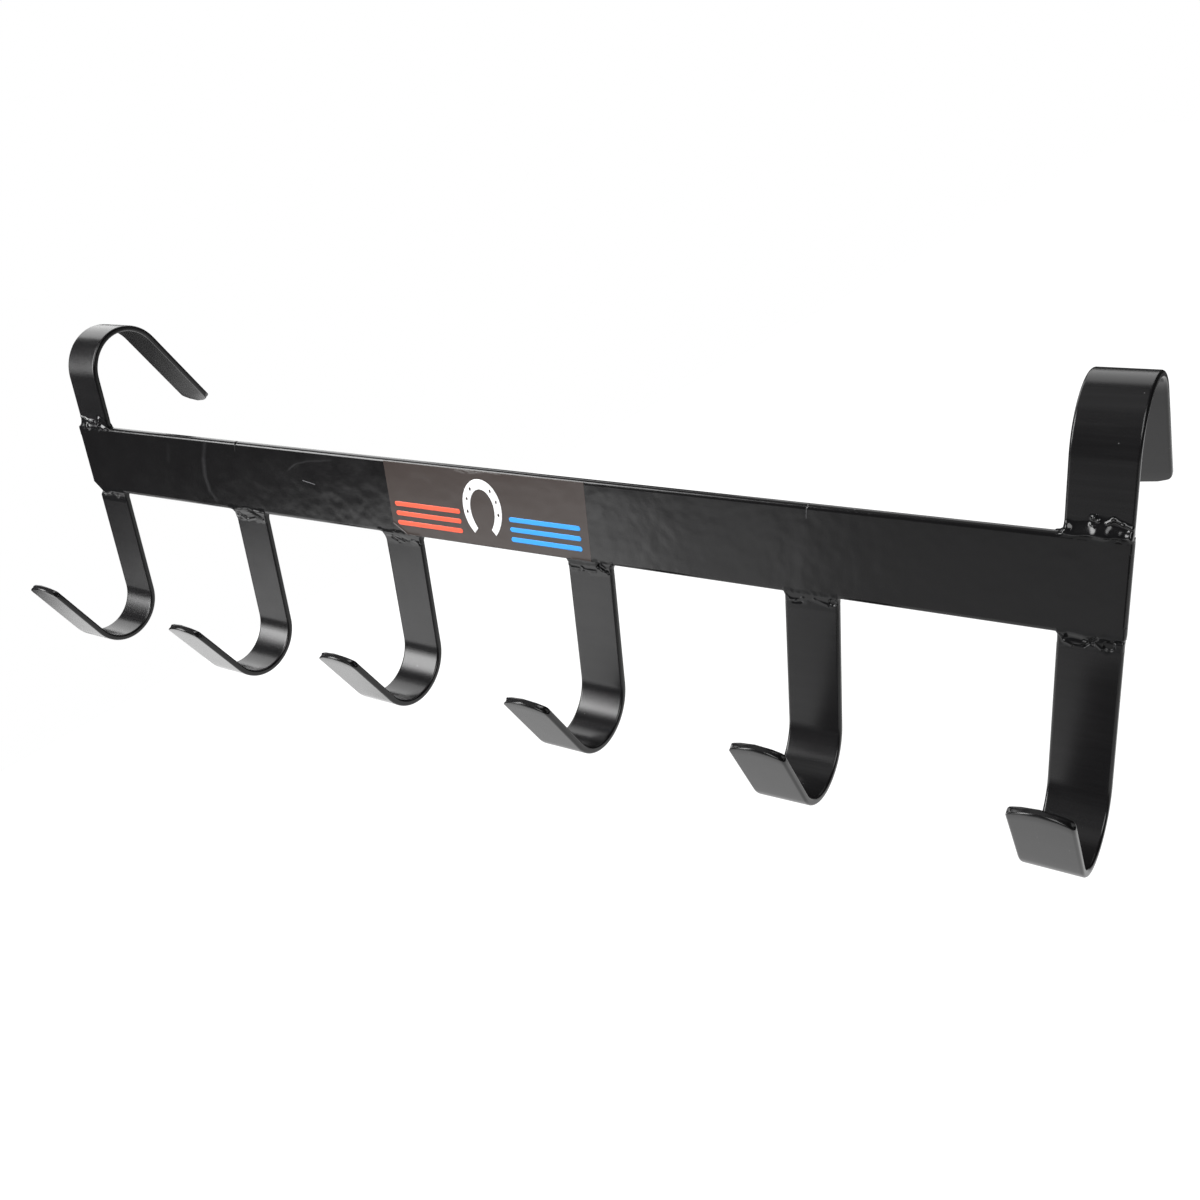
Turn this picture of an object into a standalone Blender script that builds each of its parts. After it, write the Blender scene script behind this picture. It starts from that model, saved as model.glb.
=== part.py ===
"""Portable tack rack: a flat steel bar with six J hooks below and two hangers that drop over a rail."""
import bmesh
import bpy
import math
from mathutils import Vector

# Driving dimensions, in metres. The origin is the centre of the crossbar's back face:
# +X runs along the bar, -Y is the side the hooks come forward on, +Z is up.
bar_length = 0.730
bar_height = 0.050
bar_thickness = 0.005
corner_cut_width = 0.008
corner_cut_height = 0.007

strap_width = 0.030
strap_thickness = 0.004
strap_edge_radius = 0.0007
tip_crown = 0.006
tip_steps = 8
bend_step_degrees = 10

# Each hook: centre along the bar, straight drop, bend, straight tip and twist.
# The hooks are bent and welded by hand, so no two of them are quite alike.
hook_bend_radius = 0.025
hooks = (
    (-0.3460, 0.078, 148, 0.055, -1.0),
    (-0.2000, 0.080, 145, 0.052, -1.5),
    (-0.0635, 0.075, 145, 0.050, -1.5),
    (0.0760, 0.077, 144, 0.052, -1.0),
    (0.2120, 0.076, 146, 0.052, 0.5),
    (0.3495, 0.079, 147, 0.053, -1.5),
)

hanger_bend_radius = 0.0275
hanger_rise = 0.0355
hanger_bend = 145
hanger_leg = 0.071
hanger_twist = 1.0
hanger_centres = {"left": -0.3455, "right": 0.3495}

# The straps stand off the bar by the root opening, and the weld runs fill it.
root_opening = 0.0024
bead_length = 0.031
bead_half_height = 0.0038
bead_crest = 0.0018
bead_rings = 14
bead_sides = 5
bead_ripples = 3.5
bead_ripple_depth = 0.12
bead_end_size = 0.35
back_run_shoulder = 0.0017
back_run_crown = 0.0019

label_left = -0.0685
label_right = 0.0782
label_thickness = 0.00025
label_margin = 0.0010
label_notch_height = 0.0055

# Clear gap between neighbouring solids.
gap = 0.0003

bar_front = -bar_thickness
bar_middle = -bar_thickness / 2


def clear_scene():
    for old in list(bpy.data.objects):
        bpy.data.objects.remove(old, do_unlink=True)


def make_material(name, colour, roughness, metallic):
    material = bpy.data.materials.new(name)
    material.use_nodes = True
    shader = material.node_tree.nodes["Principled BSDF"]
    shader.inputs["Base Color"].default_value = (*colour, 1)
    shader.inputs["Roughness"].default_value = roughness
    shader.inputs["Metallic"].default_value = metallic
    return material


def add_object(name, mesh_builder, material, parent, location, rotation=(0, 0, 0)):
    """A named object from a bmesh, with its faces turned outwards."""
    bmesh.ops.recalc_face_normals(mesh_builder, faces=mesh_builder.faces)
    mesh = bpy.data.meshes.new(name)
    mesh_builder.to_mesh(mesh)
    mesh_builder.free()
    mesh.materials.append(material)
    item = bpy.data.objects.new(name, mesh)
    bpy.context.scene.collection.objects.link(item)
    item.parent = parent
    item.location = location
    item.rotation_euler = rotation
    return item


def round_edges(item, radius, segments):
    bevel = item.modifiers.new("rounded edges", "BEVEL")
    bevel.width = radius
    bevel.segments = segments
    bevel.limit_method = "ANGLE"
    bevel.angle_limit = math.radians(30)


def extrude_outline(outline, thickness):
    """A plate: an outline of (x, z) points, thickened along Y around y = 0."""
    builder = bmesh.new()
    corners = [builder.verts.new((x, -thickness / 2, z)) for x, z in outline]
    front = builder.faces.new(corners)
    grown = bmesh.ops.extrude_face_region(builder, geom=[front])
    moved = [part for part in grown["geom"] if isinstance(part, bmesh.types.BMVert)]
    bmesh.ops.translate(builder, verts=moved, vec=(0, thickness, 0))
    return builder


def make_crossbar(material, parent):
    """The flat bar, with its lower left corner snipped off."""
    end = bar_length / 2
    half = bar_height / 2
    outline = (
        (-end, half),
        (-end, corner_cut_height - half),
        (corner_cut_width - end, -half),
        (end, -half),
        (end, half),
    )
    bar = add_object("crossbar", extrude_outline(outline, bar_thickness), material, parent,
                     (0, bar_middle, 0))
    round_edges(bar, strap_edge_radius, 2)


def strap_centreline(drop, bend_radius, bend_degrees, tail):
    """(y, z) points: straight down, round a bend towards -Y, then a straight tail."""
    radius = bend_radius + strap_thickness / 2
    steps = math.ceil(bend_degrees / bend_step_degrees)
    points = [(0, -root_opening)]
    for step in range(steps + 1):
        angle = math.radians(bend_degrees) * step / steps
        points.append((-radius * (1 - math.cos(angle)), -drop - radius * math.sin(angle)))
    turn = math.radians(bend_degrees)
    direction = Vector((-math.sin(turn), -math.cos(turn)))
    return [Vector(point) for point in points], direction * tail


def make_strap(name, drop, bend_radius, bend_degrees, tail, material, parent, location, rotation):
    """A flat strap bent to a J, its end crowned. It is a middle sheet made solid."""
    points, tail_vector = strap_centreline(drop, bend_radius, bend_degrees, tail)
    builder = bmesh.new()
    half = strap_width / 2
    rows = [[builder.verts.new((side * half, *point)) for side in (-1, 1)] for point in points]
    for above, below in zip(rows, rows[1:]):
        builder.faces.new((above[0], above[1], below[1], below[0]))
    crown = []
    for step in range(tip_steps + 1):
        across = 1 - 2 * step / tip_steps
        reach = 1 - tip_crown * across * across / tail
        crown.append(builder.verts.new((across * half, *(points[-1] + tail_vector * reach))))
    builder.faces.new([rows[-1][0], rows[-1][1], *crown])
    strap = add_object(name, builder, material, parent, location, rotation)
    plate = strap.modifiers.new("plate", "SOLIDIFY")
    plate.thickness = strap_thickness
    plate.offset = 0
    plate.use_even_offset = True
    round_edges(strap, strap_edge_radius, 1)
    strap.data.shade_smooth()
    strap.data.set_sharp_from_angle(angle=math.radians(35))


def sweep_sections(name, sections, material, parent, location):
    """A closed solid skinned over a row of sections, each the same number of (x, y, z) points."""
    builder = bmesh.new()
    rings = [[builder.verts.new(point) for point in section] for section in sections]
    count = len(rings[0])
    for here, there in zip(rings, rings[1:]):
        for side in range(count):
            after = (side + 1) % count
            builder.faces.new((here[side], here[after], there[after], there[side]))
    builder.faces.new(rings[0])
    builder.faces.new(rings[-1])
    add_object(name, builder, material, parent, location)


def make_front_run(name, x, z, phase, material, parent):
    """The front run: a stem in the root opening under a rippled cap, half an ellipse across.
    The cap shrinks towards the run's ends."""
    stem = root_opening / 2 - gap
    inner = bar_thickness / 2 - gap / 2
    sections = []
    for ring in range(bead_rings + 1):
        along = 2 * ring / bead_rings - 1
        station = along * bead_length / 2
        swell = 1 + bead_ripple_depth * math.sin(bead_ripples * math.pi * along + phase)
        size = swell * (1 - (1 - bead_end_size) * along ** 4)
        section = []
        for side in range(bead_sides + 1):
            angle = math.pi * side / bead_sides
            section.append((station, -gap - bead_crest * size * math.sin(angle),
                            bead_half_height * size * math.cos(angle)))
        section += [(station, -gap, -stem), (station, inner, -stem)]
        section += [(station, inner, stem), (station, -gap, stem)]
        sections.append(section)
    sweep_sections(name, sections, material, parent, (x, bar_front, z))


def make_back_run(name, x, z, material, parent):
    """The back run fills the rest of the root opening, and stays below the bar's back face."""
    stem = root_opening / 2 - gap
    outline = ((0, -stem), (back_run_shoulder, -stem), (back_run_crown, 0),
               (back_run_shoulder, stem), (0, stem))
    sections = [[(end * bead_length / 2, *point) for point in outline] for end in (-1, 1)]
    sweep_sections(name, sections, material, parent, (x, bar_middle + gap / 2, z))


def make_welded_joint(strap_name, x, edge_z, phase, material, parent):
    """Two runs in the butt joint between a strap and the bar, one from each face."""
    z = edge_z + math.copysign(root_opening / 2, edge_z)
    make_front_run(f"weld_{strap_name}_front", x, z, phase, material, parent)
    make_back_run(f"weld_{strap_name}_back", x, z, material, parent)


def make_hooks(steel, weld, parent):
    for number, (x, drop, bend, tip, twist) in enumerate(hooks, start=1):
        name = f"hook_{number}"
        make_strap(name, drop, hook_bend_radius, bend, tip, steel, parent,
                   (x, bar_middle, -bar_height / 2), (0, 0, math.radians(twist)))
        make_welded_joint(name, x, -bar_height / 2, number, weld, parent)


def make_hangers(steel, weld, parent):
    """A hanger is a strap turned half round about X: it goes up and bends back over the rail."""
    for number, (side, x) in enumerate(hanger_centres.items()):
        name = f"hanger_{side}"
        make_strap(name, hanger_rise, hanger_bend_radius, hanger_bend, hanger_leg, steel, parent,
                   (x, bar_middle, bar_height / 2), (math.pi, 0, -math.radians(hanger_twist)))
        make_welded_joint(name, x, bar_height / 2, 2 * number, weld, parent)


def make_label(material, parent):
    """A thin film on the bar's front face, notched to clear the weld runs it meets."""
    half = bar_height / 2 - label_margin
    shelf = label_notch_height - bar_height / 2
    left_notch = hooks[2][0] + bead_length / 2 + gap
    right_notch = hooks[3][0] - bead_length / 2 - gap
    outline = (
        (label_left, half),
        (label_left, shelf),
        (left_notch, shelf),
        (left_notch, -half),
        (right_notch, -half),
        (right_notch, shelf),
        (label_right, shelf),
        (label_right, half),
    )
    add_object("label_film", extrude_outline(outline, label_thickness), material, parent,
               (0, bar_front - gap - label_thickness / 2, 0))


def build_rack():
    clear_scene()
    rack = bpy.data.objects.new("rack", None)
    bpy.context.scene.collection.objects.link(rack)
    bar_steel = make_material("bar_powder_coat", (0.020, 0.020, 0.021), 0.38, 0.0)
    strap_steel = make_material("strap_powder_coat", (0.024, 0.024, 0.025), 0.36, 0.0)
    weld = make_material("weld_powder_coat", (0.018, 0.018, 0.019), 0.28, 0.0)
    film = make_material("label_film", (0.045, 0.038, 0.036), 0.22, 0.0)
    make_crossbar(bar_steel, rack)
    make_hooks(strap_steel, weld, rack)
    make_hangers(strap_steel, weld, rack)
    make_label(film, rack)


build_rack()
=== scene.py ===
import math
import bpy
import numpy as np
from mathutils import Matrix, Vector


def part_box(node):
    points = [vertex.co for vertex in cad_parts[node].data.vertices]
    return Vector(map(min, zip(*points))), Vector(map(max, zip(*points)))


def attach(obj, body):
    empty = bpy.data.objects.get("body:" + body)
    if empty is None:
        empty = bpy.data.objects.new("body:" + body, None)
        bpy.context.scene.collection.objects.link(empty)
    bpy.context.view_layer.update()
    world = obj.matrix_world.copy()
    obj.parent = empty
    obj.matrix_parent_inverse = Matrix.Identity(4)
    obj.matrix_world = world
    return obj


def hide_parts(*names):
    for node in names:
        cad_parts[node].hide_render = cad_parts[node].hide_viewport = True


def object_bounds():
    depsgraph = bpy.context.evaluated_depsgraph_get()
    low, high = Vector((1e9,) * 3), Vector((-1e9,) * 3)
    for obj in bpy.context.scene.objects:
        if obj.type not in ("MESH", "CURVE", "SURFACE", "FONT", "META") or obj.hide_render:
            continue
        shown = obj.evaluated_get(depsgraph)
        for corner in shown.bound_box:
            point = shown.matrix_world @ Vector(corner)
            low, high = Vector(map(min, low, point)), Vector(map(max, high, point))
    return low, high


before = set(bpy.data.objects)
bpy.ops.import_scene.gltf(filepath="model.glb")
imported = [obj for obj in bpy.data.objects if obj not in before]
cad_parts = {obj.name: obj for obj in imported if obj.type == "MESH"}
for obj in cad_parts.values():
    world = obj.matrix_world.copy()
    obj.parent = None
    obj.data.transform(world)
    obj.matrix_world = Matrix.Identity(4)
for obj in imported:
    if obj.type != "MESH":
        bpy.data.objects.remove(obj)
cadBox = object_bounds()
mm = 0.001

barLow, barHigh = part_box("crossbar")
barMiddle = (barLow.y + barHigh.y) / 2
labelLow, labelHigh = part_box("label_film")


def addMesh(name, points, faces, material, smooth=True):
    # a new object with these points and faces, at the origin
    mesh = bpy.data.meshes.new(name)
    mesh.from_pydata(points.reshape(-1, 3).tolist(), [], faces)
    mesh.materials.append(material)
    mesh.polygons.foreach_set("use_smooth", [smooth] * len(mesh.polygons))
    mesh.update()
    piece = bpy.data.objects.new(name, mesh)
    bpy.context.scene.collection.objects.link(piece)
    return piece


def gridFaces(rows, columns, closed=False):
    # quads between neighbouring rows of a grid, the columns joined round when closed
    row, column = np.meshgrid(np.arange(rows - 1), np.arange(columns if closed else columns - 1), indexing="ij")
    after = (column + 1) % columns
    here, there = row * columns, (row + 1) * columns
    return np.stack([here + column, here + after, there + after, there + column], -1).reshape(-1, 4)


cornerSteps = 6   # steps round a quarter circle
flatPlaces = np.array([0.012, 0.05, 0.2, 0.5, 0.8, 0.95, 0.988])   # shares of a flat, close beside its corners too


def roundedSection(width, thickness, radius):
    # a rectangle with quarter circle corners, plus points close beside each corner so that the flats shade flat
    turn = np.linspace(0, math.pi / 2, cornerSteps + 1)
    corners = [(1, 1), (-1, 1), (-1, -1), (1, -1)]
    arcs = []
    for quarter, (sideways, through) in enumerate(corners):
        angle = turn + quarter * math.pi / 2
        across = sideways * (width / 2 - radius) + radius * np.cos(angle)
        depth = through * (thickness / 2 - radius) + radius * np.sin(angle)
        arcs.append(np.stack([across, depth], -1))
    parts = []
    for quarter in range(4):
        start, end = arcs[quarter][-1], arcs[(quarter + 1) % 4][0]
        parts += [arcs[quarter], start + (end - start) * flatPlaces[:, None]]
    return np.concatenate(parts)


def capFaces(count, first, flip):
    # closes one end of a rounded section: quads from its upper half straight down to its lower half,
    # and at each side one face that takes in the points of the side's flat
    quarter = count // 4
    upper = np.arange(1, quarter + cornerSteps - 1)
    lower = 3 * quarter + cornerSteps - upper
    faces = np.stack([upper, upper + 1, lower - 1, lower], -1).tolist()
    faces.append(list(range(quarter + cornerSteps - 1, 2 * quarter + 2)))
    faces.append([index % count for index in range(3 * quarter + cornerSteps - 1, count + 2)])
    return [[index + first for index in (face[::-1] if flip else face)] for face in faces]


def skinRings(name, rings, material):
    # a closed solid over a row of rings, each with the section's points in the section's order
    rows, count = rings.shape[:2]
    faces = gridFaces(rows, count, closed=True).tolist()
    faces += capFaces(count, 0, flip=True) + capFaces(count, (rows - 1) * count, flip=False)
    return addMesh(name, rings, faces, material)


def sheetSolid(name, front, back, material):
    # a closed solid between two grids of the same size, joined by a rim of quads round their borders
    rows, columns = front.shape[:2]
    index = np.arange(rows * columns).reshape(rows, columns)
    rim = np.concatenate([index[0], index[1:, -1], index[-1, -2::-1], index[-2:0:-1, 0]])
    after = np.roll(rim, -1)
    count = rows * columns
    faces = np.concatenate([
        gridFaces(rows, columns),
        gridFaces(rows, columns)[:, ::-1] + count,
        np.stack([after, rim, rim + count, after + count], -1),
    ])
    return addMesh(name, np.concatenate([front.reshape(-1, 3), back.reshape(-1, 3)]), faces.tolist(), material)


def smoothStep(value, low, high):
    # 0 below low, 1 above high, and 3 s^2 - 2 s^3 between them
    share = np.clip((value - low) / (high - low), 0, 1)
    return share * share * (3 - 2 * share)


def strokeHeight(u, w, strokes):
    # the sum of ridges and creases, each of them height * exp(-(distance to its line / width)^2)
    table = np.array(strokes, float)[:, :, None, None]
    startU, startW, endU, endW, width, height = (table[:, column] for column in range(6))
    alongU, alongW = endU - startU, endW - startW
    length = np.maximum(alongU ** 2 + alongW ** 2, 1e-9)
    share = np.clip(((u - startU) * alongU + (w - startW) * alongW) / length, 0, 1)
    distance = np.hypot(u - startU - share * alongU, w - startW - share * alongW)
    return (height * np.exp(-(distance / width) ** 2)).sum(0)


def rippleHeight(u, w, size, seed):
    # the mean of six sine waves 2 to 6 mm long, their directions and phases drawn from the seed
    count, fullTurn = 6, 2 * math.pi
    draw = np.random.default_rng(seed)
    length, direction = draw.uniform(2, 6, count), draw.uniform(0, math.pi, count)
    phase = draw.uniform(0, fullTurn, count)
    waves = [np.sin(fullTurn * (u * math.cos(d) + w * math.sin(d)) / n + f)
             for n, d, f in zip(length, direction, phase)]
    return size * sum(waves) / count


def finishPiece(piece, nodes):
    # turns the faces outwards, then gives the piece its body and hides the nodes it stands for
    bpy.context.view_layer.objects.active = piece
    piece.select_set(True)
    bpy.ops.object.mode_set(mode="EDIT")
    bpy.ops.mesh.select_all(action="SELECT")
    bpy.ops.mesh.normals_make_consistent(inside=False)
    bpy.ops.object.mode_set(mode="OBJECT")
    piece.select_set(False)
    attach(piece, "root")
    if nodes:
        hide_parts(*nodes)


def newMaterial(name):
    # a material with its nodes, its links and its shader
    material = bpy.data.materials.new(name)
    material.use_nodes = True
    nodes, links = material.node_tree.nodes, material.node_tree.links
    return material, nodes, links, nodes["Principled BSDF"]


def addMath(nodes, links, operation, *inputs):
    # one Math node; each input is a number or another node's output
    node = nodes.new("ShaderNodeMath")
    node.operation = operation
    for socket, value in zip(node.inputs, inputs):
        if isinstance(value, (int, float)):
            socket.default_value = value
        else:
            links.new(value, socket)
    return node.outputs[0]


def newGroup(name, inputs, outputs):
    # an empty node group with these inputs and their usual values
    group = bpy.data.node_groups.new(name, "ShaderNodeTree")
    for title, value in inputs.items():
        kind = "NodeSocketVector" if isinstance(value, tuple) else "NodeSocketFloat"
        socket = group.interface.new_socket(title, in_out="INPUT", socket_type=kind)
        socket.default_value = value
    for title in outputs:
        group.interface.new_socket(title, in_out="OUTPUT", socket_type="NodeSocketFloat")
    nodes, links = group.nodes, group.links
    start, end = nodes.new("NodeGroupInput"), nodes.new("NodeGroupOutput")
    return group, nodes, links, start.outputs, end.inputs


def addNoise(nodes, links, vector, scale, detail):
    # a noise that runs from about -0.5 to 0.5
    noise = nodes.new("ShaderNodeTexNoise")
    noise.inputs["Detail"].default_value = detail
    links.new(vector, noise.inputs["Vector"])
    if isinstance(scale, (int, float)):
        noise.inputs["Scale"].default_value = scale
    else:
        links.new(scale, noise.inputs["Scale"])
    return addMath(nodes, links, "SUBTRACT", noise.outputs["Fac"], 0.5)


powder = {"peelScale": 700, "cloudScale": 60, "brushScale": 800, "brushStretch": 0.02, "brushLift": 0.15,
          "speckScale": 300, "speckShare": 0.15, "speckSize": (0.05, 0.06),   # sizes in cells: least, and random extra
          "scuffAndHighlightGrainScale": 900}
coatInputs = {"Peel Height": 0.01, "Wave Height": 0.06, "Wave Scale": 95.0, "Roughness": 0.16, "Cloudiness": 0.06,
              "Dust": 1.0, "Brush": 0.0}


def makePowderGroup():
    # height in mm of the orange peel and of the slow waves under it, cloudy roughness, and a mask of sparse dust
    # specks and of a brushed grain drawn out along X
    group, nodes, links, given, out = newGroup("powderSurface", coatInputs, ("Height", "Roughness", "Dust"))
    place = nodes.new("ShaderNodeTexCoord").outputs["Object"]
    peel = addNoise(nodes, links, place, powder["peelScale"], 2)
    wave = addNoise(nodes, links, place, given["Wave Scale"], 1)
    peel = addMath(nodes, links, "MULTIPLY", peel, given["Peel Height"])
    height = addMath(nodes, links, "MULTIPLY_ADD", wave, given["Wave Height"], peel)
    links.new(height, out["Height"])
    cloud = addNoise(nodes, links, place, powder["cloudScale"], 5)
    links.new(addMath(nodes, links, "MULTIPLY_ADD", cloud, given["Cloudiness"], given["Roughness"]), out["Roughness"])
    cells = nodes.new("ShaderNodeTexVoronoi")
    cells.inputs["Scale"].default_value = powder["speckScale"]
    links.new(place, cells.inputs["Vector"])
    pick = nodes.new("ShaderNodeSeparateColor")
    links.new(cells.outputs["Color"], pick.inputs["Color"])
    leastSize, extraSize = powder["speckSize"]
    size = addMath(nodes, links, "MULTIPLY_ADD", pick.outputs["Red"], extraSize, leastSize)
    near = addMath(nodes, links, "LESS_THAN", cells.outputs["Distance"], size)
    rare = addMath(nodes, links, "GREATER_THAN", pick.outputs["Green"], 1 - powder["speckShare"])
    seen = addMath(nodes, links, "MULTIPLY", near, rare)
    stretch = nodes.new("ShaderNodeMapping")
    stretch.inputs["Scale"].default_value = (powder["brushStretch"], 1, 1)
    links.new(place, stretch.inputs["Vector"])
    brush = addNoise(nodes, links, stretch.outputs["Vector"], powder["brushScale"], 2)
    brush = addMath(nodes, links, "ADD", brush, powder["brushLift"])
    brush = addMath(nodes, links, "MULTIPLY", addMath(nodes, links, "MAXIMUM", brush, 0.0), given["Brush"])
    links.new(addMath(nodes, links, "MULTIPLY_ADD", seen, given["Dust"], brush), out["Dust"])
    return group


def makeScuffAndHighlightGroup():
    # a mask that is Strength on the line from Start to End and falls smoothly to nothing at Width from it; it draws
    # scuffs and painted highlight lines
    inputs = {"Start": (0, 0, 0), "End": (0, 0, 0), "Width": 0.001, "Strength": 1.0, "Grain": 0.0}
    group, nodes, links, given, out = newGroup("scuffAndHighlightLine", inputs, ("Mask",))
    place = nodes.new("ShaderNodeTexCoord").outputs["Object"]

    def vectorMath(operation, first, second, output="Vector"):
        node = nodes.new("ShaderNodeVectorMath")
        node.operation = operation
        links.new(first, node.inputs[0])
        if second is not None:
            links.new(second, node.inputs["Scale" if operation == "SCALE" else 1])
        return node.outputs[output]

    fromStart = vectorMath("SUBTRACT", place, given["Start"])
    line = vectorMath("SUBTRACT", given["End"], given["Start"])
    share = addMath(nodes, links, "DIVIDE", vectorMath("DOT_PRODUCT", fromStart, line, "Value"),
                    vectorMath("DOT_PRODUCT", line, line, "Value"))
    share = addMath(nodes, links, "MINIMUM", addMath(nodes, links, "MAXIMUM", share, 0.0), 1.0)
    toLine = vectorMath("SUBTRACT", fromStart, vectorMath("SCALE", line, share))
    distance = vectorMath("LENGTH", toLine, None, "Value")
    fall = nodes.new("ShaderNodeMapRange")
    fall.interpolation_type = "SMOOTHSTEP"
    links.new(distance, fall.inputs["Value"])
    links.new(given["Width"], fall.inputs["From Max"])
    links.new(given["Strength"], fall.inputs["To Min"])
    fall.inputs["To Max"].default_value = 0
    grain = addNoise(nodes, links, place, powder["scuffAndHighlightGrainScale"], 2)
    grain = addMath(nodes, links, "MULTIPLY_ADD", grain, given["Grain"], 1.0)
    links.new(addMath(nodes, links, "MULTIPLY", fall.outputs["Result"], grain), out["Mask"])
    return group


def makePowderCoat(name, look):
    # black base, dust, scuffs and painted highlight lines mixed in as grey, and one bump for peel, waves and grain
    material, nodes, links, shader = newMaterial(name)
    surface = nodes.new("ShaderNodeGroup")
    surface.node_tree = powderGroup
    for socket in coatInputs:
        surface.inputs[socket].default_value = look[socket]
    marks = surface.outputs["Dust"]
    # each line mark is painted in the dust colour: scuffs, and on the film a painted highlight along its fold
    for start, end, width, strength, grain in look.get("scuffsAndPaintedHighlights", ()):
        lineMark = nodes.new("ShaderNodeGroup")
        lineMark.node_tree = scuffAndHighlightGroup
        lineMark.inputs["Start"].default_value = (start[0] * mm, barLow.y, start[1] * mm)
        lineMark.inputs["End"].default_value = (end[0] * mm, barLow.y, end[1] * mm)
        for socket, value in (("Width", width * mm), ("Strength", strength), ("Grain", grain)):
            lineMark.inputs[socket].default_value = value
        marks = addMath(nodes, links, "MAXIMUM", marks, lineMark.outputs["Mask"])
    mix = nodes.new("ShaderNodeMix")
    mix.data_type = "RGBA"
    mix.inputs["A"].default_value = (*look["colour"], 1)
    mix.inputs["B"].default_value = (*look["dustAndHighlightColour"], 1)
    links.new(marks, mix.inputs["Factor"])
    links.new(mix.outputs["Result"], shader.inputs["Base Color"])
    links.new(surface.outputs["Roughness"], shader.inputs["Roughness"])
    bump = nodes.new("ShaderNodeBump")
    bump.inputs["Distance"].default_value = mm
    links.new(surface.outputs["Height"], bump.inputs["Height"])
    links.new(bump.outputs["Normal"], shader.inputs["Normal"])
    return material


# A line mark is (start x, start z), (end x, end z), width and strength, in mm on the bar's front, and how grainy it
# is; on the bar the marks are scuffs, and the film's first is a painted highlight along its fold.
barLook = {"colour": (0.0055, 0.0053, 0.0056), "dustAndHighlightColour": (0.25, 0.25, 0.26), "Peel Height": 0.008,
           "Wave Height": 0.16, "Wave Scale": 95, "Roughness": 0.16, "Cloudiness": 0.10, "Dust": 0.8, "Brush": 0.0,
           "scuffsAndPaintedHighlights": (((-229, 22.8), (-234.5, 10), 2.6, 0.035, 1.0),          # the smear across the left of the bar
                      ((-234.5, 10), (-236.8, -2), 3.0, 0.055, 1.0),
                      ((-236.8, -2), (-235.4, -12.6), 3.0, 0.055, 1.0),
                      ((-235.4, -12.6), (-230.6, -19.5), 2.4, 0.04, 1.0),
                      ((-152.7, 10.4), (-146, 14.5), 0.9, 0.06, 1.0),          # the curved scratch
                      ((-146, 14.5), (-135, 17.4), 0.9, 0.05, 1.0),
                      ((-135, 17.4), (-113, 20.1), 0.9, 0.04, 1.0),
                      ((-141.8, 3.7), (-131.6, 2.0), 0.5, 0.5, 1.0),           # the short bright one under it
                      ((-199.7, 24.6), (-200.6, 19), 0.4, 0.12, 1.0),          # below the two nicks
                      ((211, 24.6), (210.8, 18), 0.35, 0.25, 1.0),
                      ((-268, 17), (-272, 6), 3.5, 0.012, 1.2))}               # a faint patch near the left end
strapLook = {"colour": (0.0060, 0.0058, 0.0062), "dustAndHighlightColour": (0.2, 0.2, 0.2), "Peel Height": 0.0,
             "Wave Height": 0.10, "Wave Scale": 38, "Roughness": 0.23, "Cloudiness": 0.06, "Dust": 0.5, "Brush": 0.035}
weldLook = {"colour": (0.0050, 0.0050, 0.0054), "dustAndHighlightColour": (0.2, 0.2, 0.2), "Peel Height": 0.001,
            "Wave Height": 0.01, "Wave Scale": 95, "Roughness": 0.16, "Cloudiness": 0.03, "Dust": 0.3, "Brush": 0.0}
filmLook = {"colour": (0.040, 0.031, 0.028), "dustAndHighlightColour": (0.4, 0.4, 0.4), "Peel Height": 0.004,
            "Wave Height": 0.12, "Wave Scale": 95, "Roughness": 0.20, "Cloudiness": 0.06, "Dust": 0.6, "Brush": 0.0,
            # the first line is a painted highlight along the diagonal fold, where the fold would catch the front
            # softbox; the two near the top are grainy pale lines
            "scuffsAndPaintedHighlights": (((-69.3, -16.3), (-57.8, -24.0), 0.45, 0.9, 0.6), ((-9.5, 23.4), (4, 22.8), 0.4, 0.25, 2.0),
                       ((8, 23.6), (21, 23.0), 0.4, 0.18, 2.0))}
powderGroup = makePowderGroup()
scuffAndHighlightGroup = makeScuffAndHighlightGroup()
barCoat = makePowderCoat("barCoat", barLook)
strapCoat = makePowderCoat("strapCoat", strapLook)
weldCoat = makePowderCoat("weldCoat", weldLook)
filmCoat = makePowderCoat("filmCoat", filmLook)


def makeInk(name, colour):
    # a plain, slightly glossy print colour
    material, _, _, shader = newMaterial(name)
    shader.inputs["Base Color"].default_value = (*colour, 1)
    shader.inputs["Roughness"].default_value = 0.35
    return material


redInk = makeInk("redInk", (0.80, 0.095, 0.045))
blueInk = makeInk("blueInk", (0.030, 0.30, 0.80))
whiteInk = makeInk("whiteInk", (0.85, 0.85, 0.86))
print("materials ready")


crossbar = {"edgeRadius": 2.1 * mm, "snipWidth": 8 * mm, "snipHeight": 7 * mm, "rows": 260,
            "nicks": ((-199.5, 0.55, 0.55), (211.0, 0.45, 0.25))}   # place along the bar, half width and depth, mm


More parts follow.
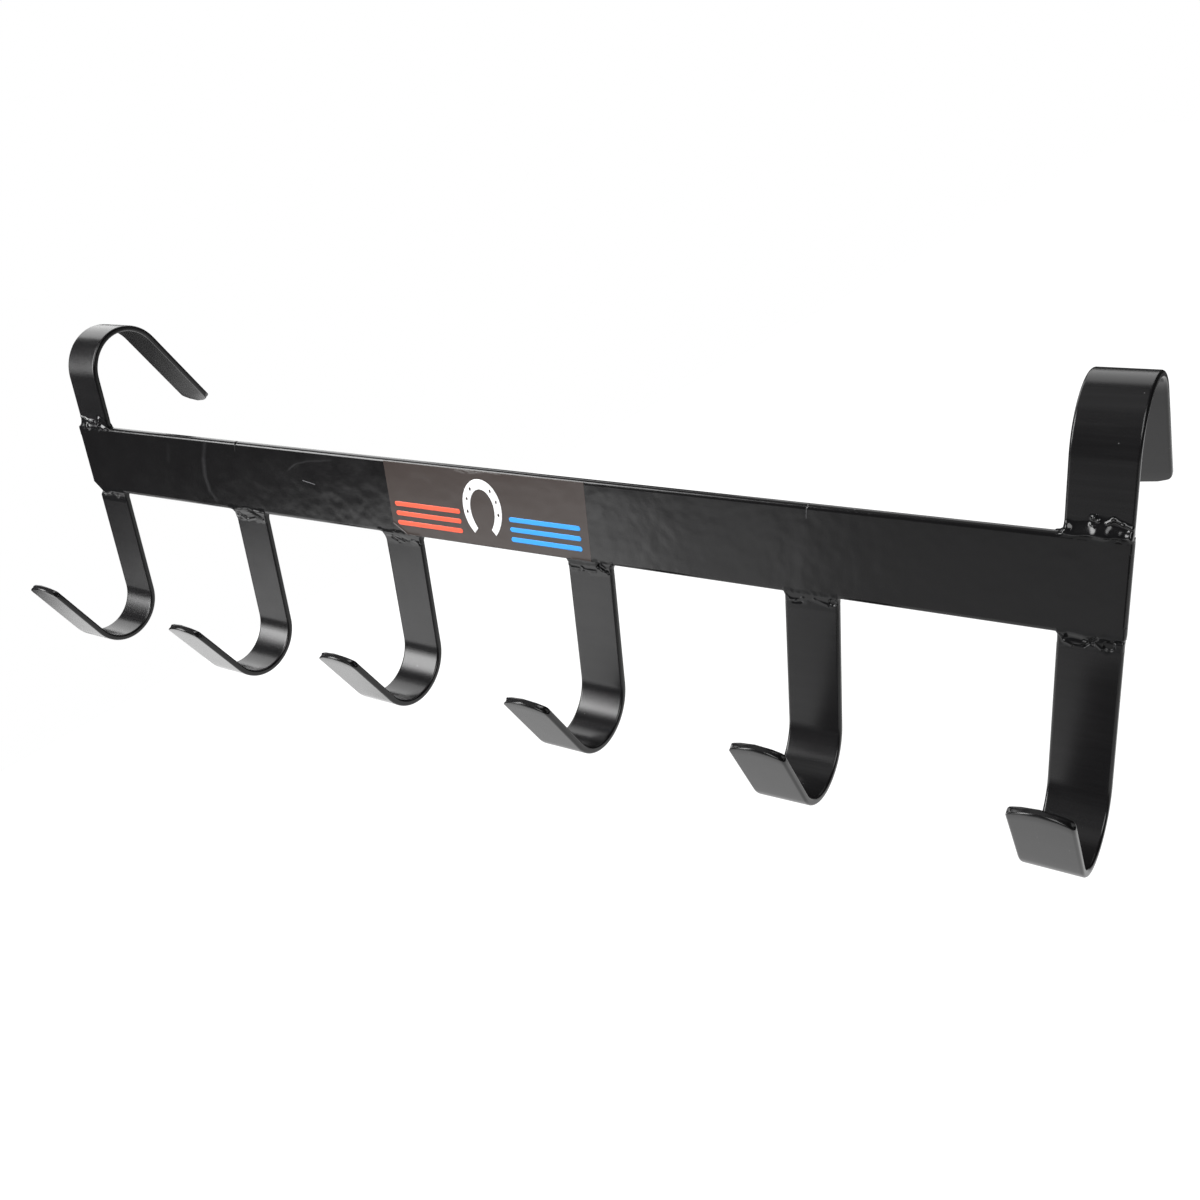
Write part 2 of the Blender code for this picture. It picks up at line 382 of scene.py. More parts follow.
def makeCrossbar(shape):
    # the rounded section carried along X; near the left end its lower edge climbs the snip in a straight line,
    # and at both ends the section draws in by a quarter circle
    length, height = barHigh.x - barLow.x, barHigh.z - barLow.z
    radius = shape["edgeRadius"]
    section = roundedSection(height, barHigh.y - barLow.y, radius)
    turn = np.linspace(0, math.pi / 2, cornerSteps + 1)[:-1]
    endPlace, endInset = radius * (1 - np.cos(turn)), radius * (1 - np.sin(turn))
    middle = [np.linspace(radius, length - radius, shape["rows"])]
    middle += [x * mm - barLow.x + np.linspace(-3, 3, 25) * half * mm for x, half, _ in shape["nicks"]]
    middle = np.sort(np.concatenate(middle))
    along = np.concatenate([endPlace, middle, length - endPlace[::-1]])
    inset = np.concatenate([endInset, middle * 0, endInset[::-1]])
    snip = shape["snipHeight"] * np.clip(1 - along / shape["snipWidth"], 0, 1)
    shrinkZ = (height - 2 * inset) / height
    shrinkY = 1 - 2 * inset / (barHigh.y - barLow.y)
    z = section[None, :, 0] * shrinkZ[:, None]
    lower = (height / 2 - z) / height
    z = (barLow.z + barHigh.z) / 2 + z + snip[:, None] * lower
    y = barMiddle + section[None, :, 1] * shrinkY[:, None]
    x = np.broadcast_to(barLow.x + along[:, None], z.shape)
    # the nicks are bell shaped dents in the upper front edge
    corner = smoothStep(section[:, 0], height / 2 - 2 * mm, height / 2 - 0.5 * mm) * (section[:, 1] < 0.5 * mm)
    for place, half, depth in shape["nicks"]:
        dent = depth * mm * np.exp(-((x - place * mm) / (half * mm)) ** 2) * corner
        y, z = y + 0.6 * dent, z - dent
    piece = skinRings("crossbar_coated", np.stack([x, y, z], -1), barCoat)
    finishPiece(piece, ["crossbar"])


makeCrossbar(crossbar)
print("crossbar made")


strap = {"width": 30 * mm, "thickness": 4 * mm, "edgeRadius": 1.4 * mm, "crown": 5 * mm, "cornerRadius": 2.2 * mm,
         "root": 6 * mm,            # how far from its joint a strap's own surface starts, where the weld's ends
         "rows": (12, 48, 9)}       # rows down the drop, round the bend and along the tail
hookBends = {"radius": 25 * mm, "bend": (148, 145, 145, 144, 146, 147), "tip": (55, 52, 50, 52, 52, 53),
             "drop": (78, 80, 75, 77, 76, 79), "twist": (-1.0, -1.5, -1.5, -1.0, 0.5, -1.5)}
hangerBends = {"radius": 27.5 * mm, "bend": 145, "leg": 71, "rise": 35.5, "twist": 1.0}


def strapRings(section, drop, radius, bend, tail):
    # The section carried down a straight drop, round a bend towards -Y and out along a straight tail.
    # The tail's end is an arc across the strap: reach falls with the square of the distance from the middle,
    # and by a quarter circle at each side. Its edge draws in by a quarter circle too.
    middleRadius = radius + strap["thickness"] / 2
    bend = math.radians(bend)
    arcLength = middleRadius * bend
    root, edge, cornerRadius = strap["root"], strap["edgeRadius"], strap["cornerRadius"]
    dropRows, bendRows, tailRows = strap["rows"]
    flatStart = root + np.array([0, 0.02, 0.1, 0.4]) * mm   # close rows, so that the start shades flat
    straight = np.concatenate([flatStart, np.linspace(root + 2 * mm, drop, dropRows)])
    arc = drop + np.linspace(0, arcLength, bendRows + 1)[1:]
    tailShare = np.linspace(0, 1, tailRows + 1)[1:]
    turn = np.linspace(0, math.pi / 2, cornerSteps + 1)[1:]
    across = section[:, 0][None, :]
    fromSide = np.clip(np.abs(across) - strap["width"] / 2 + cornerRadius, 0, cornerRadius)
    corner = cornerRadius - np.sqrt(cornerRadius ** 2 - 0.99 * fromSide ** 2)   # 0.99 stops short of upright
    reach = tail - strap["crown"] * (2 * across / strap["width"]) ** 2 - corner
    rowsTail = drop + arcLength + tailShare[:, None] * (reach - edge)
    rowsEnd = drop + arcLength + reach - edge + edge * np.sin(turn)[:, None]
    s = np.concatenate([np.repeat(np.concatenate([straight, arc])[:, None], len(section), 1), rowsTail, rowsEnd])
    inset = np.concatenate([np.zeros(len(straight) + len(arc) + len(tailShare)), edge * (1 - np.cos(turn))])[:, None]
    wide = across * (1 - 2 * inset / strap["width"])
    deep = section[:, 1][None, :] * (1 - 2 * inset / strap["thickness"])
    angle = np.clip((s - drop) / middleRadius, 0, bend)
    beyond = np.clip(s - drop - arcLength, 0, None)
    y = -middleRadius * (1 - np.cos(angle)) - beyond * math.sin(bend) + deep * np.cos(angle)
    z = -np.minimum(s, drop) - middleRadius * np.sin(angle) - beyond * math.cos(bend) - deep * np.sin(angle)
    return np.stack([wide + 0 * y, y, z], -1)


def placeStrap(rings, x, z, twist, upward):
    # turns a strap half round about X when it goes up, twists it about Z and moves it to its joint
    turn = Matrix.Rotation(math.radians(twist), 3, "Z")
    if upward:
        turn = Matrix.Rotation(-math.radians(twist), 3, "Z") @ Matrix.Rotation(math.pi, 3, "X")
    return rings @ np.array(turn).T + np.array([x, barMiddle, z])


def makeStrap(node, rings):
    # the closed skin over the rings, in place of the strap's node
    finishPiece(skinRings(f"{node}_coated", rings, strapCoat), [node])


def findCentre(node):
    # the middle of the strap's joint along the bar
    low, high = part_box(f"weld_{node}_front")
    return (low.x + high.x) / 2


strapSection = roundedSection(strap["width"], strap["thickness"], strap["edgeRadius"])
nodeCentre = {node: findCentre(node) for node in [f"hook_{n}" for n in range(1, 7)] + ["hanger_left", "hanger_right"]}
for number in range(6):
    node = f"hook_{number + 1}"
    rings = strapRings(strapSection, hookBends["drop"][number] * mm, hookBends["radius"],
                       hookBends["bend"][number], hookBends["tip"][number] * mm)
    rings = placeStrap(rings, nodeCentre[node], barLow.z, hookBends["twist"][number], False)
    makeStrap(node, rings)
for side in ("left", "right"):
    node = f"hanger_{side}"
    rings = strapRings(strapSection, hangerBends["rise"] * mm, hangerBends["radius"],
                       hangerBends["bend"], hangerBends["leg"] * mm)
    rings = placeStrap(rings, nodeCentre[node], barHigh.z, hangerBends["twist"], True)
    makeStrap(node, rings)
print("hooks and hangers made")


# In mm: u runs across the strap and w across the joint, above zero on the bar's side.
# A stroke is (start u, start w, end u, end w, width, height), and a height below zero is a crease.
# A pit is (centre u, centre w, radius, half width of its wall, depth), and a ramp is (rise, start w, top w, end w).
# plateau is the run's own height from strapSide to barSide, wobble how wavy its border is and ripple how uneven it is.
# flareLeft and flareRight are the radii of the fillets beside the strap.
welds = {
    "hook_1": {"seed": 1, "ripple": 0.0, "wobble": 0.3, "plateau": 0.06, "strapSide": 2.6, "barSide": 1.6,
               "flareLeft": 0.2, "flareRight": 0.6,
               "strokes": [(-13.2, -1.2, -9.5, -1.6, 1.2, 0.50), (-9.5, -1.6, -3.2, -0.8, 1.1, 0.45),
                           (0.2, -0.6, 5.5, -3.4, 0.7, 0.50), (5.5, -3.4, 7.8, -1.4, 0.6, 0.45)]},
    "hook_2": {"seed": 2, "plateau": 0.20, "strapSide": 4.4, "barSide": 2.2, "flareLeft": 6.5, "flareRight": 1.5,
               "strokes": [(-17.3, -1.0, -10.7, -4.2, 0.5, -0.7), (0.2, 2.3, 13.3, -3.9, 0.55, -0.8),
                           (-0.6, 1.2, 14, -4.9, 0.6, 0.40), (-14, -4.6, -3, -5.6, 0.7, 0.30),
                           (-3, -5.6, 5.6, -3.6, 0.7, 0.25), (-14, 0.9, 0, 2.5, 0.7, 0.14),
                           (-9.5, -0.5, -4, -4.4, 0.7, 0.12), (5, 1.4, 16, 0.5, 0.8, 0.2)]},
    "hook_3": {"seed": 3, "plateau": 0.10, "strapSide": 3.6, "barSide": 1.6, "flareLeft": 6.0, "flareRight": 1.4,
               "strokes": [(-14, -1.2, -3, -1.0, 0.6, 0.18), (-8, -1.4, 1, -4.6, 0.5, 0.28),
                           (-3.2, -5.8, -1.4, -6.6, 0.5, -0.45), (-9, -2.5, -4, -4.3, 0.45, -0.35),
                           (0, -2.0, 5, -3.4, 0.5, -0.25), (8, -2.6, 13.4, -4.0, 0.6, 0.28),
                           (12.6, -3.2, 14.6, -6.2, 0.6, -0.6)]},
    "hook_4": {"seed": 4, "plateau": 0.10, "strapSide": 5.2, "barSide": 1.2, "flareLeft": 1.8, "flareRight": 2.6,
               "strokes": [(-15.4, -2.1, -14.2, -3.4, 0.7, 0.35), (-7, -6.4, -6.4, -6.4, 0.55, -0.8),
                           (-3.9, -6, -3.4, -6.2, 0.5, -0.7), (-2.4, -6.6, -1.2, -6.9, 0.5, -0.7),
                           (-5.5, -3.2, -4.2, -4.2, 0.5, 0.25), (6.6, 0.4, 6.2, -1.4, 0.75, -1.5),
                           (6.2, -1.4, 9, -3.2, 0.6, -1.5), (9, -3.2, 12.4, -4.0, 0.55, -1.4),
                           (12.4, -4.0, 14.0, -6.8, 0.5, -1.0), (7.8, -0.2, 10.5, -1.6, 0.7, 0.35),
                           (-12, -4.8, 4, -5.0, 0.9, 0.12)]},
    "hook_5": {"seed": 5, "plateau": 0.08, "strapSide": 3.4, "barSide": 1.6, "flareLeft": 1.6, "flareRight": 0.8,
               "strokes": [(-13.8, -1.2, -11.6, -3.3, 0.7, 0.24), (-11.6, -3.3, -8.7, -3.6, 0.7, 0.24),
                           (-8.7, -3.6, -4.4, -1.8, 0.7, 0.2), (-4.4, -1.8, 2, -1.6, 0.8, 0.14),
                           (-9.6, -4.9, -5.5, -4.2, 0.8, -0.3), (2, -1.8, 9, -4.0, 0.8, 0.20)],
               "pits": [(12.0, -2.0, 2.0, 0.4, 0.6)]},
    "hook_6": {"seed": 6, "plateau": 0.08, "strapSide": 4.6, "barSide": 1.4, "flareLeft": 1.4, "flareRight": 0.3,
               "strokes": [(-13.6, -0.6, -11.7, -3.8, 0.5, 0.30), (-11.7, -3.8, -7.9, -5.4, 0.6, 0.34),
                           (-9.6, -0.9, -4.6, -1.5, 1.5, -0.5), (-7.1, -5.6, -2.6, -5.2, 0.55, -0.9),
                           (-2.6, -2.2, 1.9, -3.4, 0.6, -0.9), (-2.6, -5.0, 2.6, -0.2, 0.6, -1.0),
                           (2.5, -2.8, 5.2, -5.1, 0.5, 0.35), (10.8, -1.0, 15, -0.4, 0.55, -0.9)],
               "pits": [(8.5, -3.1, 2.5, 0.4, 1.0)]},
    "hanger_left": {"seed": 7, "plateau": 0.22, "strapSide": 5.0, "barSide": 1.0, "flareLeft": 6.0, "flareRight": 1.0,
                    "strokes": [(-13.9, -7.0, -8.9, -5.8, 0.8, 0.45), (-8.9, -5.8, -4.4, -4.6, 0.8, 0.40),
                                (-4.4, -4.6, 1.5, -4.2, 0.7, 0.35), (1.5, -4.2, 5.5, -6.6, 0.7, 0.35),
                                (-3, -6.2, 3.5, -5.8, 0.9, -0.3), (6.8, -6.9, 7.4, -6.7, 1.2, 0.7),
                                (6.8, -4.5, 6.0, -2.0, 1.3, 0.9), (6.0, -2.0, 11.2, 0.2, 1.0, 0.7),
                                (-8.2, -1.2, -7.6, 0.4, 1.5, 0.9)]},
    "hanger_right": {"seed": 8, "plateau": 0.0, "strapSide": 5.0, "barSide": 2.6, "flareLeft": 4.0, "flareRight": 0.3,
                     "ramp": (1.9, -6.6, -0.5, 0.35),
                     "strokes": [(0.2, -3.2, 2.5, -2.8, 3.0, 1.3), (7.0, -2.6, 8.0, -2.4, 1.7, 0.55),
                                 (-13.4, -3.6, -13.0, -3.2, 1.5, 0.9), (-3.2, -5.6, -2.0, -5.2, 0.8, 0.4),
                                 (13.4, -2.4, 14.5, -1.0, 1.5, 0.8), (3.5, -6.6, 6.2, -8.6, 0.8, 0.6),
                                 (6.2, -8.6, 10.2, -6.8, 0.7, 0.6), (10.2, -6.8, 14.5, -5.2, 0.7, 0.6),
                                 (5.5, -5.6, 12, -4.0, 1.0, -0.35), (-0.3, -11.5, -1.4, -9.4, 0.35, 0.18),
                                 (-2.3, -8.5, -2.2, -8.5, 1.0, 1.0), (-0.2, -7.5, -0.2, -7.4, 0.85, 0.8),
                                 (8.5, 2.2, 9.3, 2.4, 0.6, -0.3)]},
}
weldShape = {
    "step": 0.25,                      # mm between its points across the joint
    "columns": 120,                    # points across the strap, besides those of the rim
    "rim": [0, 0.004, 0.010, 0.018, 0.028, 0.040],   # shares of the width at which the rim's points lie
    "down": -10.5, "up": 7.01,         # how far it reaches down the strap and up the bar
    "hide": 0.005,                     # how far its border lies under the faces round it
    "shownFrom": (-9.8, -6.2), "shownTo": (0.5, 3.0),   # where it comes out of the strap and goes into the bar
    "strapFade": (-2.4, 1.4), "barFade": (-1.4, 2.0),   # where its plateau fades, from strapSide and from barSide
    "strapWaves": (2.9, 1.1), "barWaves": (2.3, 0.9),   # long and short waves in its two borders
    "faceBlend": (-2.8, 0.8),          # where the strap's face passes over into the bar's
    "backBlend": (-3.5, -0.8),         # the same on the back
    "backHide": 0.03,                  # how far its back lies inside the bar's back
    "backRipple": 0.25, "rippleFrom": (-5.5, -2.5), "rippleTo": (-0.5, 1.0),   # the back run's unevenness
    "leastThickness": 0.05,
    "narrower": 0.08,                  # how far it keeps inside the strap's edges, away from the joint
    "endClear": 0.15,                  # how far it keeps inside the bar's ends
    "snipClear": 0.1,                  # and inside the snipped corner
}


def weldFront(u, w, joint, strapTurn):
    # the front faces, blended across the joint, plus plateau, strokes, pits and ripples that fade at the border;
    # the border is a line moved by two sines along it
    strapFace = (barMiddle - strap["thickness"] / 2) / mm + u * math.sin(strapTurn)
    face = strapFace + (barLow.y / mm - strapFace) * smoothStep(w, *weldShape["faceBlend"])
    draw = np.random.default_rng(joint["seed"] + 40)
    phase, wobble = draw.uniform(0, 2 * math.pi, 4), joint.get("wobble", 0.8)
    (longLow, shortLow), (longHigh, shortHigh) = weldShape["strapWaves"], weldShape["barWaves"]
    lower = w + wobble * (np.sin(u / longLow + phase[0]) + 0.5 * np.sin(u / shortLow + phase[1]))
    upper = w + 0.6 * wobble * (np.sin(u / longHigh + phase[2]) + 0.4 * np.sin(u / shortHigh + phase[3]))
    strapFade, barFade = np.array(weldShape["strapFade"]), np.array(weldShape["barFade"])
    window = smoothStep(lower, *(strapFade - joint["strapSide"]))
    window = window * (1 - smoothStep(upper, *(barFade + joint["barSide"])))
    height = joint["plateau"] * window + strokeHeight(u, w, joint["strokes"])
    if "ramp" in joint:
        rise, start, top, end = joint["ramp"]
        drift = 0.35 * np.sin(u / longHigh + phase[2])
        height = height + rise * smoothStep(w + drift, start, top) * (1 - smoothStep(w + drift, top, end))
    for centreU, centreW, radius, wall, depth in joint.get("pits", ()):
        height = height - depth * (1 - smoothStep(np.hypot(u - centreU, w - centreW), radius - wall, radius + wall))
    height = height + rippleHeight(u, w, joint.get("ripple", 0.04), joint["seed"]) * window
    shown = smoothStep(w, *weldShape["shownFrom"]) * (1 - smoothStep(w, *weldShape["shownTo"]))
    return face - height + weldShape["hide"] * (1 - 1.5 * shown)


def quarterSag(distance, radius):
    # how far a rounded edge lies below its flat at a distance from the edge: radius less its quarter circle
    inside = np.clip(radius - distance, 0, radius)
    return radius - np.sqrt(np.maximum(radius ** 2 - inside ** 2, 0))


def makeWeld(node, joint, edgeZ, side, strapTurn):
    # two faces over a grid of u and w, closed by a rounded rim; beside the strap its outline flares
    # to the bar in a concave quarter circle
    centre = nodeCentre[node]
    w = np.arange(weldShape["down"], weldShape["up"], weldShape["step"])[:, None]
    rim = np.array(weldShape["rim"])
    inner = rim[-1] + rim[-1] - rim[-2]
    across = np.concatenate([rim, np.linspace(inner, 1 - inner, weldShape["columns"]), 1 - rim[::-1]])[None, :]
    half = strap["width"] / 2 / mm
    ends = half - weldShape["narrower"] * (1 - smoothStep(w, -8.5, -5.5))
    left = -ends - quarterSag(-w, joint["flareLeft"])
    left = np.maximum(left, (barLow.x - centre) / mm + weldShape["endClear"])
    if node == "hook_1":
        snip = crossbar["snipWidth"] * np.minimum(1 - w * mm / crossbar["snipHeight"], 1)
        snipEdge = (barLow.x + snip - centre) / mm + weldShape["snipClear"]
        left = np.where(w > 0, snipEdge, left + (snipEdge - left) * smoothStep(w, -4, 0))
    right = np.minimum(ends + quarterSag(-w, joint["flareRight"]), (barHigh.x - centre) / mm - weldShape["endClear"])
    u = left + across * (right - left)
    w = w + 0 * u
    rounding = quarterSag(np.minimum(u - left, right - u), strap["edgeRadius"] / mm)
    leftFlare = smoothStep(-u, half - 0.4, half + 0.7 * joint["flareLeft"])
    rightFlare = smoothStep(u, half - 0.4, half + 0.7 * joint["flareRight"])
    barCurve = quarterSag(w, crossbar["edgeRadius"] / mm) * np.where(u < 0, leftFlare, rightFlare)
    front = weldFront(u, w, joint, strapTurn) + rounding + barCurve
    strapBack = (barMiddle + strap["thickness"] / 2) / mm + u * math.sin(strapTurn)
    barBack = barHigh.y / mm - weldShape["backHide"]
    back = strapBack + (barBack - strapBack) * smoothStep(w, *weldShape["backBlend"]) - 0.02 - rounding
    uneven = smoothStep(w, *weldShape["rippleFrom"]) * (1 - smoothStep(w, *weldShape["rippleTo"]))
    back = back + rippleHeight(u, w, weldShape["backRipple"], joint["seed"] + 20) * uneven
    back = np.minimum(back, np.where(w > 0.5, barBack, np.inf))
    back = np.maximum(back, front + weldShape["leastThickness"])
    x, z = centre / mm + u, edgeZ / mm + side * w
    grids = [np.stack([x, y, z], -1) * mm for y in (front, back)]
    piece = sheetSolid(f"weld_{node}_run", *grids, weldCoat)
    finishPiece(piece, [f"weld_{node}_front", f"weld_{node}_back"])


for node, joint in welds.items():
    upward = node.startswith("hanger")
    turn = -hangerBends["twist"] if upward else hookBends["twist"][int(node[-1]) - 1]
    makeWeld(node, joint, barHigh.z if upward else barLow.z, -1 if upward else 1, math.radians(turn))
print("welds made")


# Places on the bar's front in mm. The film's strokes are (start x, start z, end x, end z, width, height).
label = {"thickness": 0.05, "lift": 0.01, "step": 0.5, "rows": 140,
         "border": [0, 0.01, 0.05],   # extra columns beside its ends, so that its face stays flat there
         "strokes": [(-69.5, -16.2, -57.6, -24.2, 0.5, 0.30), (-67.5, -20, -61, -24.2, 1.5, -0.25),
                     (-64, -26, -50, -26, 2.0, 0.35), (-12, 23.6, -6, 22.4, 0.7, 0.16), (-8, 24.2, 2, 23.4, 0.6, 0.18),
                     (-2, 22.6, 7, 23.8, 0.7, 0.14), (66, -25.5, 78, -25.5, 1.6, 0.30)]}
shoe = {"centre": (4.2, -1.5), "radius": (12.0, 17.0), "width": (6.4, 4.4), "sweep": 140,
        "pull": 0.16, "nails": (38, 66, 94), "nailSize": (0.75, 1.15)}   # angles in degrees from the top
stripes = {"red": ((-66, -11.5), (-3.6, -9.9, -16.2)), "blue": ((21.5, 74.5), (-4.4, -10.7, -17.0)), "thickness": 3.1}


def filmFront(x, z):
    # the film's face in mm: the bar's front less the film's lift, its thickness and its folds
    return barLow.y / mm - label["lift"] - label["thickness"] - strokeHeight(x, z, label["strokes"])


def makeFilm():
    # a grid over the film's rectangle, its face at filmFront and its back just under it
    low, high = labelLow.x / mm, labelHigh.x / mm
    border = np.array(label["border"])
    x = np.concatenate([low + border, np.arange(low + 0.3, high - 0.2, label["step"]), high - border[::-1]])
    margin = crossbar["edgeRadius"] / 2
    x, z = np.meshgrid(x, np.linspace(barLow.z + margin, barHigh.z - margin, label["rows"]) / mm)
    face = filmFront(x, z)
    front = np.stack([x, face, z], -1) * mm
    back = np.stack([x, face + label["thickness"] + 0.02, z], -1) * mm
    finishPiece(sheetSolid("label_film_sheet", front, back, filmCoat), ["label_film"])


def makePrint(name, x, z, ink, lift=0.03):
    # a thin layer of ink that follows the film's face
    face = filmFront(x, z)
    front = np.stack([x, face - lift, z], -1) * mm
    back = np.stack([x, face + 0.02, z], -1) * mm
    finishPiece(sheetSolid(name, front, back, ink), [])


def makeShoe(shape):
    # an arch x = a sin t, z = b cos t, its heels pulled in with the cube of t, and a band of changing width across it;
    # the nail holes are small ovals on it
    t = np.radians(np.linspace(-shape["sweep"], shape["sweep"], 121))[:, None]
    s = np.linspace(-0.5, 0.5, 13)[None, :]
    wide, tall = shape["radius"]
    share = np.abs(t) / math.radians(shape["sweep"])
    width = shape["width"][0] + (shape["width"][1] - shape["width"][0]) * share ** 1.5
    centreX, centreZ = shape["centre"]
    x = centreX + (wide * (1 - shape["pull"] * share ** 3) + s * width) * np.sin(t)
    z = centreZ + (tall + s * width) * np.cos(t)
    makePrint("print_horseshoe", x, z, whiteInk)
    a, b = np.meshgrid(np.linspace(-1, 1, 9), np.linspace(-1, 1, 9))
    ovalX, ovalZ = a * np.sqrt(1 - b * b / 2), b * np.sqrt(1 - a * a / 2)
    nailWide, nailTall = shape["nailSize"]
    for side, sign in (("left", -1), ("right", 1)):
        for number, angle in enumerate(shape["nails"], start=1):
            share = angle / shape["sweep"]
            middleX = centreX + wide * (1 - shape["pull"] * share ** 3) * math.sin(math.radians(angle)) * sign
            middleZ = centreZ + tall * math.cos(math.radians(angle))
            makePrint(f"print_nail_{side}_{number}", middleX + ovalX * nailWide, middleZ + ovalZ * nailTall,
                      filmCoat, 0.05)


def makeStripes(colour, ink):
    # three level bars with round ends
    (start, end), heights = stripes[colour]
    for number, height in enumerate(heights):
        s, t = np.meshgrid(np.linspace(0, 1, 90), np.linspace(-1, 1, 9))
        half = stripes["thickness"] / 2
        x = start + half + s * (end - start - 2 * half)
        fromEnd = np.minimum(s, 1 - s) * (end - start)
        taper = np.sqrt(np.clip(1 - np.clip(1 - fromEnd / half, 0, 1) ** 2, 0.02, 1))
        makePrint(f"print_{colour}_{number + 1}", x, height + t * half * taper, ink)


makeFilm()
makeShoe(shoe)
makeStripes("red", redInk)
makeStripes("blue", blueInk)
print("label made")


stage = {"floorDrop": 0.45, "floorLeft": -1.08, "floorRight": 6.0, "floorFront": -0.9, "floorBack": 9.0,
         "floorGrey": 0.1, "floorRoughness": 0.9, "surroundings": 0.03}


def addEyeSwitch(nodes, links, others):
    # 1 to the eye, and the given value in reflections and bounced light
    path = nodes.new("ShaderNodeLightPath")
    strength = nodes.new("ShaderNodeMix")
    strength.inputs["A"].default_value = others
    strength.inputs["B"].default_value = 1.0
    links.new(path.outputs["Is Camera Ray"], strength.inputs["Factor"])
    return strength.outputs["Result"]


def makeStage(shape):
    # a level sheet below the rack, and a world that is white to the eye and dim in the reflections
    z = cadBox[0][2] - shape["floorDrop"]
    left, right, front, back = (shape[k] for k in ("floorLeft", "floorRight", "floorFront", "floorBack"))
    paint, nodes, links, shader = newMaterial("floorPaint")
    shader.inputs["Base Color"].default_value = (*[shape["floorGrey"]] * 3, 1)
    shader.inputs["Roughness"].default_value = shape["floorRoughness"]
    shader.inputs["Emission Color"].default_value = (1, 1, 1, 1)
    links.new(addEyeSwitch(nodes, links, 0.0), shader.inputs["Emission Strength"])
    corners = np.array([[left, front, z], [right, front, z], [right, back, z], [left, back, z]])
    addMesh("floor", corners, [[0, 1, 2, 3]], paint, smooth=False)
    world = bpy.data.worlds.new("studio")
    bpy.context.scene.world = world
    world.use_nodes = True
    nodes, links = world.node_tree.nodes, world.node_tree.links
    nodes["Background"].inputs["Color"].default_value = (1, 1, 1, 1)
    links.new(addEyeSwitch(nodes, links, shape["surroundings"]), nodes["Background"].inputs["Strength"])


makeStage(stage)


# left, right and radiance of each lamp on the floor
floorLamps = {"floorLeftLamp": (-1.05, -0.45, 1.60), "floorRightLamp": (-0.45, 2.6, 0.72)}
floorLampDepth = (-0.9, 2.1)   # front and back
floorLampLift = 0.005
tableLamp = {"place": (-1.5, -0.9, 0.7), "target": (-0.5, 0, -0.4), "size": (0.8, 0.8), "radiance": 26}
lampDistance = 5   # from the rack's middle to each softbox


def addLamp(name, place, target, size, radiance):
    # a rectangle that shines at the target; its power is radiance times pi times its area
    light = bpy.data.lights.new(name, "AREA")
    light.shape = "RECTANGLE"
    light.size, light.size_y = size
    light.energy = radiance * math.pi * size[0] * size[1]
    lamp = bpy.data.objects.new(name, light)
    bpy.context.scene.collection.objects.link(lamp)
    lamp.location = place
    lamp.rotation_euler = (Vector(target) - Vector(place)).to_track_quat("-Z", "Y").to_euler()
    lamp.visible_camera = False
    return lamp


def addSoftbox(name, azimuth, elevation, halfWidth, halfHeight, radiance):
    # a lamp that faces the rack's middle; azimuth is measured from the front towards +X
    a, e = math.radians(azimuth), math.radians(elevation)
    place = Vector((math.sin(a) * math.cos(e), -math.cos(a) * math.cos(e), math.sin(e))) * lampDistance
    size = [2 * lampDistance * math.tan(math.radians(half)) for half in (halfWidth, halfHeight)]
    addLamp(name, place, (0, 0, 0), size, radiance)


def addFloorLamp(name, left, right, radiance):
    # lies just over the floor and shines up, so that what faces down reflects a pale floor
    near, far = floorLampDepth
    height = cadBox[0][2] - stage["floorDrop"] + floorLampLift
    place = Vector(((left + right) / 2, (near + far) / 2, height))
    addLamp(name, place, place + Vector((0, 0, 1)), (right - left, far - near), radiance)


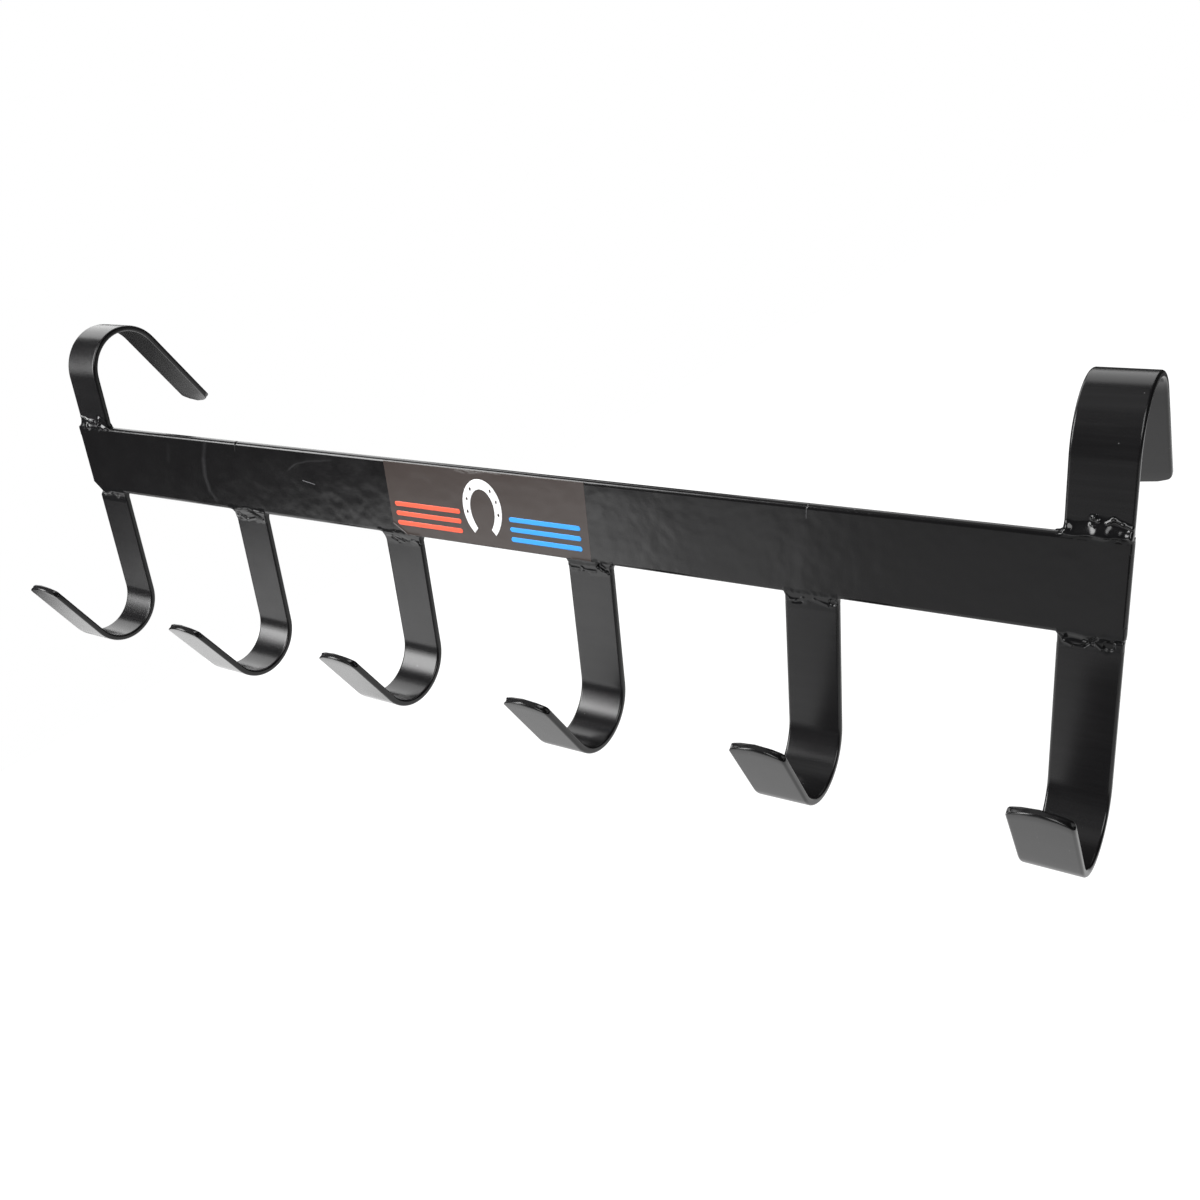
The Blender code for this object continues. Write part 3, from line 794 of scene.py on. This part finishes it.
def addTableLamp(lamp):
    # lights the table and the print, and shows in no reflection
    made = addLamp("tableLamp", lamp["place"], lamp["target"], lamp["size"], lamp["radiance"])
    made.visible_glossy = False


# azimuth, elevation, half width and half height in degrees, radiance
softboxes = {
    "frontLeftBox": (-45.5, 24, 8.5, 18, 6.6),
    "frontLeftHalo": (-45, 24, 11.5, 25, 4.2),
    "tableFrontLeft": (-46.5, -27.5, 14.5, 8.5, 1.9),
    "tableFront": (-27, -27.5, 5, 8.5, 0.9),
    "tableFrontRight": (-4, -27.5, 18, 8.5, 0.42),
    "backWall": (-172, 41, 17, 21, 1.4),
    "backLeftBox": (-119, 30, 19, 22, 2.2),
    "overheadBox": (-60, 78, 20, 16, 0.35),
    "rightBox": (36, 40, 12, 20, 4.5),
}
for name, (azimuth, elevation, halfWidth, halfHeight, radiance) in softboxes.items():
    addSoftbox(name, azimuth, elevation, halfWidth, halfHeight, radiance)
for name, (left, right, radiance) in floorLamps.items():
    addFloorLamp(name, left, right, radiance)
addTableLamp(tableLamp)


cameraPlace = {"azimuth": 33.866, "elevation": 24.071, "roll": -5.866, "place": (0.44467, -0.54641, 0.24368),
               "focal": 1234.2, "picture": 1200, "sensor": 36}   # focal length where the picture is 1200 wide


def addCamera(view):
    # looks along the azimuth and down by the elevation, then rolls about the line of sight
    azimuth, elevation, roll = (math.radians(view[k]) for k in ("azimuth", "elevation", "roll"))
    forward = Vector((-math.sin(azimuth) * math.cos(elevation), math.cos(azimuth) * math.cos(elevation),
                      -math.sin(elevation)))
    side = Vector((math.cos(azimuth), math.sin(azimuth), 0))
    up = side.cross(forward)
    right = math.cos(roll) * side + math.sin(roll) * up
    top = -math.sin(roll) * side + math.cos(roll) * up
    data = bpy.data.cameras.new("camera")
    data.sensor_width = view["sensor"]
    data.lens = view["focal"] / view["picture"] * view["sensor"]
    camera = bpy.data.objects.new("camera", data)
    camera.matrix_world = Matrix.Translation(view["place"]) @ Matrix((right, top, -forward)).transposed().to_4x4()
    bpy.context.scene.collection.objects.link(camera)
    bpy.context.scene.camera = camera


addCamera(cameraPlace)
bpy.context.scene.view_settings.view_transform = "Standard"
